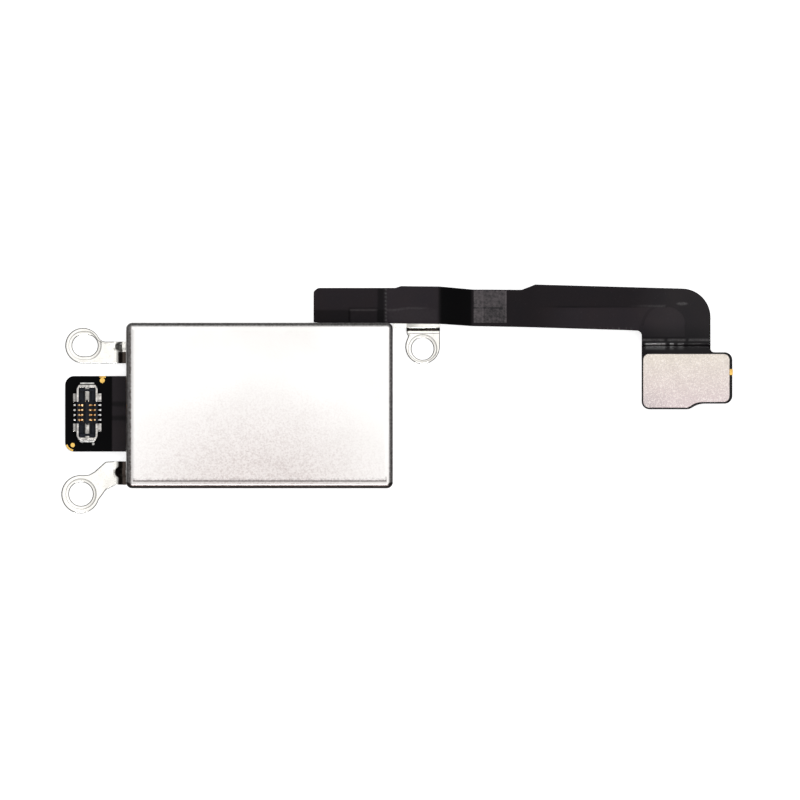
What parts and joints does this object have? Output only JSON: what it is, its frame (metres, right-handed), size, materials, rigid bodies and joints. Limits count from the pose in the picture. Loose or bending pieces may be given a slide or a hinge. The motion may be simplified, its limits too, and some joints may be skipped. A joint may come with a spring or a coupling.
{
  "type": "linear vibration motor",
  "caption": "Flat rectangular linear vibration motor with three screw lugs, a short flex tab with a board-to-board receptacle, and a flex tail that ends in a backed plug.",
  "frame": {"origin": "centre of the case's underside", "axes": "+X along the case towards the flex tail, which is also the way the mass moves; +Y towards the side of the case that the tail leaves; +Z out of the top cover"},
  "size_m": [0.0478, 0.0163, 0.0033],
  "materials": {
    "cover_steel": "satin",
    "base_steel": "satin",
    "lug_steel": "satin",
    "soft_iron": "matte",
    "flex_film": "satin",
    "tape_film": "matte",
    "coil_copper": "gloss",
    "chip_epoxy": "matte",
    "capacitor_ceramic": "matte",
    "spring_steel": "polished",
    "stop_rubber": "matte",
    "tungsten": "matte",
    "magnet_nickel": "gloss",
    "stiffener_board": "matte",
    "pad_gold": "gloss",
    "connector_plastic": "satin",
    "contact_gold": "gloss",
    "frame_metal": "gloss",
    "patch_film": "satin",
    "stiffener_steel": "matte"
  },
  "bodies": {
    "case": {"base_plate": "base_steel", "top_cover": "cover_steel", "rear_left_lug": "lug_steel", "front_left_lug": "lug_steel", "right_lug_bracket": "lug_steel", "stator_yoke": "soft_iron", "main_flex": "flex_film", "shelf_tape": "tape_film", "left_coil": "coil_copper", "right_coil": "coil_copper", "hall_sensor": "chip_epoxy", "memory_chip": "chip_epoxy", "chip_capacitors": "capacitor_ceramic", "right_spring": "spring_steel", "left_spring": "spring_steel", "case_weld_plates": "spring_steel", "right_bumper": "stop_rubber", "left_bumper": "stop_rubber"},
    "moving_mass": {"mass_frame": "tungsten", "left_magnet": "magnet_nickel", "centre_magnet": "magnet_nickel", "right_magnet": "magnet_nickel", "mass_yoke": "soft_iron", "mass_weld_plates": "spring_steel"},
    "tab": {"left_tab_flex": "flex_film", "left_tab_stiffener": "stiffener_board", "tab_ground_pads": "pad_gold", "receptacle_housing": "connector_plastic", "receptacle_contacts": "contact_gold", "receptacle_end_frames": "frame_metal"},
    "tail": {"tail_flex": "flex_film", "shield_patch": "patch_film"},
    "tail_pad": {"tail_pad_flex": "flex_film", "tail_stiffener": "stiffener_steel", "tail_test_pad": "pad_gold", "plug_housing": "connector_plastic", "plug_contacts": "contact_gold", "plug_end_contacts": "frame_metal"}
  },
  "joints": [
    {"name": "mass_travel", "type": "slide", "parent": "case", "child": "moving_mass", "axis": [1, 0, 0], "range_m": [-0.0006, 0.0006], "stiffness_N_per_m": 1900, "deforming": ["left_spring", "right_spring"]},
    {"name": "tab_bend", "type": "hinge", "parent": "case", "child": "tab", "pos_m": [-0.01, -0.0006, 0.00077], "axis": [0, 1, 0], "range_deg": [-5, 45], "stiffness_Nm_per_rad": 0.00003},
    {"name": "tail_root_bend", "type": "hinge", "parent": "case", "child": "tail", "pos_m": [0.01402, 0.00705, 0.00105], "axis": [0, -1, 0], "range_deg": [-1, 25], "stiffness_Nm_per_rad": 0.0015},
    {"name": "pad_bend", "type": "hinge", "parent": "tail", "child": "tail_pad", "pos_m": [0.02967, 0.00445, 0.00133], "axis": [-1, 0, 0], "range_deg": [-1.5, 80], "stiffness_Nm_per_rad": 0.0001}
  ]
}
